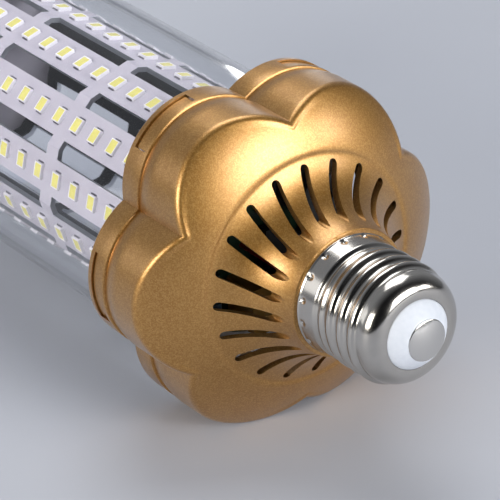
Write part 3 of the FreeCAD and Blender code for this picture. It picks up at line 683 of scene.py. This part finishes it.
chip_z = first_chip - chip_pitch * np.arange(chips_per_row)
axis_way = np.array([0.0, 0.0, 1.0])
every = np.ones((chips_per_row, 1))
for row in range(board_faces):
    turn = (row + 0.5) * 2 * np.pi / board_faces
    out_way = np.array([np.cos(turn), np.sin(turn), 0.0])
    side_way = np.array([-np.sin(turn), np.cos(turn), 0.0])
    centres = face_r * out_way + chip_z[:, None] * axis_way
    name = f"chips_on_face_{row + 1:02d}"
    chips = add_chips(name, centres, every * side_way, every * axis_way, every * out_way)
    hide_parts(f"led_row_{row + 1:02d}")
ring_turn = np.concatenate([turn_angles(count) for count, r in end_rings])
ring_r = np.concatenate([np.full(count, r) for count, r in end_rings])
none = np.zeros(len(ring_r))
out_way = np.stack([np.cos(ring_turn), np.sin(ring_turn), none], -1)
side_way = np.stack([-np.sin(ring_turn), np.cos(ring_turn), none], -1)
end_way = np.stack([none, none, none - 1], -1)
end_centres = ring_r[:, None] * out_way - end_way * end_face
end_chips = add_chips("chips_on_end", end_centres, side_way, out_way, end_way)
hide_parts("end_leds")

# Base plate: a white moulded plastic disc that carries the folded light board and closes the housing.
# Three screws hold it to the housing's posts; the mould leaves it matt, with a fine grain.
plate_white, tree, shader = start_material("white moulded plate")
spot = add_node(tree, "TexCoord", {}).outputs["Object"]
grain = add_node(tree, "TexNoise", {"Vector": spot, "Scale": 1000 / 0.83, "Detail": 3.0}).outputs[0]
tone = add_node(
    tree, "Mix", {0: grain, 6: linear("#D9D9DE"), 7: linear("#E8E8EB")}, data_type="RGBA").outputs[2]
relief = add_node(tree, "Bump", {"Height": grain, "Strength": 0.15, "Distance": 0.0002}).outputs[0]
tree.links.new(tone, shader.inputs["Base Color"])
tree.links.new(relief, shader.inputs["Normal"])
shader.inputs["Roughness"].default_value = 0.45
give_material("base_plate", plate_white)

# Plate screws: three small screws of zinc plated steel, driven through the plate into the posts.
# The plating is a grey satin metal with a slight cloudiness.
screw_steel, tree, shader = start_material("zinc plated steel")
spot = add_node(tree, "TexCoord", {}).outputs["Object"]
grain = add_node(tree, "TexNoise", {"Vector": spot, "Scale": 1000 / 1.1, "Detail": 3.0}).outputs[0]
rough = add_node(tree, "MapRange", {0: grain, 3: 0.25, 4: 0.45}).outputs[0]
tree.links.new(rough, shader.inputs["Roughness"])
shader.inputs["Base Color"].default_value = linear("#B9BABD")
shader.inputs["Metallic"].default_value = 1.0
give_material("plate_screws", screw_steel)

# Driver: a round circuit board with its soldered parts and sleeved wires, inside the housing.
# Only glimpses of it show behind the air slots, so each part has one plain finish with a fine grain.
inner_colours = {
    "driver_board": ("green circuit board", "#1F3A28", "#2A4B36", 0.35),
    "main_capacitor": ("black capacitor sleeve", "#1E2024", "#2C2F35", 0.35),
    "output_capacitor": ("black capacitor sleeve, small", "#1E2024", "#2C2F35", 0.35),
    "drum_inductor": ("dark ferrite", "#26282B", "#3A3C40", 0.6),
    "film_capacitor": ("yellow film box", "#B58A2C", "#C79B3A", 0.4),
    "bridge_rectifier": ("black moulded package", "#17181A", "#232427", 0.5),
    "driver_chip": ("black moulded chip", "#17181A", "#232427", 0.5),
    "fuse_resistor": ("blue resistor lacquer", "#4C6E8C", "#5D82A3", 0.3),
    "live_lead": ("red wire sleeve", "#A3282A", "#B83A38", 0.4),
    "led_lead_positive": ("red wire sleeve, thin", "#A3282A", "#B83A38", 0.4),
    "neutral_lead": ("black wire sleeve", "#1B1C1E", "#2A2B2E", 0.4),
    "led_lead_negative": ("black wire sleeve, thin", "#1B1C1E", "#2A2B2E", 0.4),
}
for node_name, (finish, dark, light, roughness) in inner_colours.items():
    finish_material, tree, shader = start_material(finish)
    spot = add_node(tree, "TexCoord", {}).outputs["Object"]
    grain = add_node(tree, "TexNoise", {"Vector": spot, "Scale": 1000 / 1.4, "Detail": 3.0}).outputs[0]
    tone = add_node(
        tree, "Mix", {0: grain, 6: linear(dark), 7: linear(light)}, data_type="RGBA").outputs[2]
    relief = add_node(tree, "Bump", {"Height": grain, "Strength": 0.1, "Distance": 0.0002}).outputs[0]
    tree.links.new(tone, shader.inputs["Base Color"])
    tree.links.new(relief, shader.inputs["Normal"])
    shader.inputs["Roughness"].default_value = roughness
    give_material(node_name, finish_material)

# Stage: a plain cool-grey table under soft studio light, seen by a long lens from the cap's side.
# The table is matt painted board and keeps the lamp's shadow.
table_paint, tree, shader = start_material("cool grey table")
spot = add_node(tree, "TexCoord", {}).outputs["Object"]
cloud = add_node(tree, "TexNoise", {"Vector": spot, "Scale": 1000 / 83, "Detail": 2.0}).outputs[0]
tone = add_node(
    tree, "Mix", {0: cloud, 6: linear("#B4B8C2"), 7: linear("#B9BDC7")}, data_type="RGBA").outputs[2]
tree.links.new(tone, shader.inputs["Base Color"])
shader.inputs["Roughness"].default_value = 0.7
reach = 4.0
table_corners = [(-reach, -reach, 0), (reach, -reach, 0), (reach, reach, 0), (-reach, reach, 0)]
table_mesh = bpy.data.meshes.new("table")
table_mesh.from_pydata(table_corners, [], [(0, 1, 2, 3)])
table_mesh.materials.append(table_paint)
table = bpy.data.objects.new("table", table_mesh)
bpy.context.scene.collection.objects.link(table)


def add_softbox(name, place_at, look_at, size, power, colour):
    """A rectangular soft light aimed at a point."""
    light = bpy.data.lights.new(name, "AREA")
    light.shape = "RECTANGLE"
    light.size, light.size_y = size
    light.energy = power
    light.color = linear(colour)[:3]
    lamp = bpy.data.objects.new(name, light)
    lamp.location = place_at
    lamp.rotation_euler = (Vector(look_at) - Vector(place_at)).to_track_quat("-Z", "Y").to_euler()
    bpy.context.scene.collection.objects.link(lamp)


# Soft lights: the front and left ones draw the two highlights on the gold, the overhead one lights the
# table and the lobes' upper sides, and the others put bright edges on the nickel, the lobes and the cover.
add_softbox("overhead softbox", (-0.3, 0.22, 0.9), (0.02, 0, 0.04), (0.6, 0.6), 4.3, "#FFFFFF")
add_softbox("left softbox", (0.27, -1.36, 0.56), (0.06, 0, 0.04), (0.66, 0.6), 13.2, "#FFFCF6")
add_softbox("back left softbox", (-0.42, -0.6, 0.3), (0.06, 0, 0.04), (0.35, 0.3), 0.4, "#FFFFFF")
add_softbox("front softbox", (1.56, 0.48, 0.6), (0.05, 0, 0.05), (0.94, 0.72), 23.5, "#FFFFFF")
add_softbox("right softbox", (1.12, 1.12, 0.45), (0.08, 0, 0.04), (0.47, 0.36), 3.9, "#FFFFFF")
add_softbox("back strip", (-0.7, 0.65, 0.24), (-0.04, 0, 0.05), (0.03, 0.5), 0.15, "#FFFFFF")

# Room: dark in front of the lamp and a pale backdrop behind it, which the bright nickel mirrors.
world = bpy.data.worlds.new("studio")
bpy.context.scene.world = world
world.use_nodes = True
tree = world.node_tree
way = add_node(tree, "TexCoord", {}).outputs["Generated"]
ahead = add_node(tree, "SeparateXYZ", {0: way}).outputs["X"]
behind = add_node(tree, "MapRange", {0: ahead, 1: 0.42, 2: -0.42}).outputs[0]
room = add_node(
    tree, "Mix", {0: behind, 6: linear("#222429"), 7: linear("#D3D7DF")}, data_type="RGBA").outputs[2]
tree.links.new(room, tree.nodes["Background"].inputs["Color"])
tree.nodes["Background"].inputs["Strength"].default_value = 0.45

# Camera: a long lens, with its place and its aim fitted to the photograph.
camera = bpy.data.cameras.new("camera")
camera.lens = 252.0
camera.sensor_width = 36.0
camera.clip_end = 20.0
eye = Vector((0.57963, -0.37034, 0.38863))
forward = Vector((-0.7303, 0.4921, -0.4738)).normalized()
right = Vector((0.5831, 0.8104, -0.0571))
right = (right - forward * right.dot(forward)).normalized()
up = right.cross(forward)
view = bpy.data.objects.new("camera", camera)
view.matrix_world = Matrix((
    (right.x, up.x, -forward.x, eye.x),
    (right.y, up.y, -forward.y, eye.y),
    (right.z, up.z, -forward.z, eye.z),
    (0, 0, 0, 1)))
bpy.context.scene.collection.objects.link(view)
bpy.context.scene.camera = view
bpy.context.scene.view_settings.view_transform = "Standard"
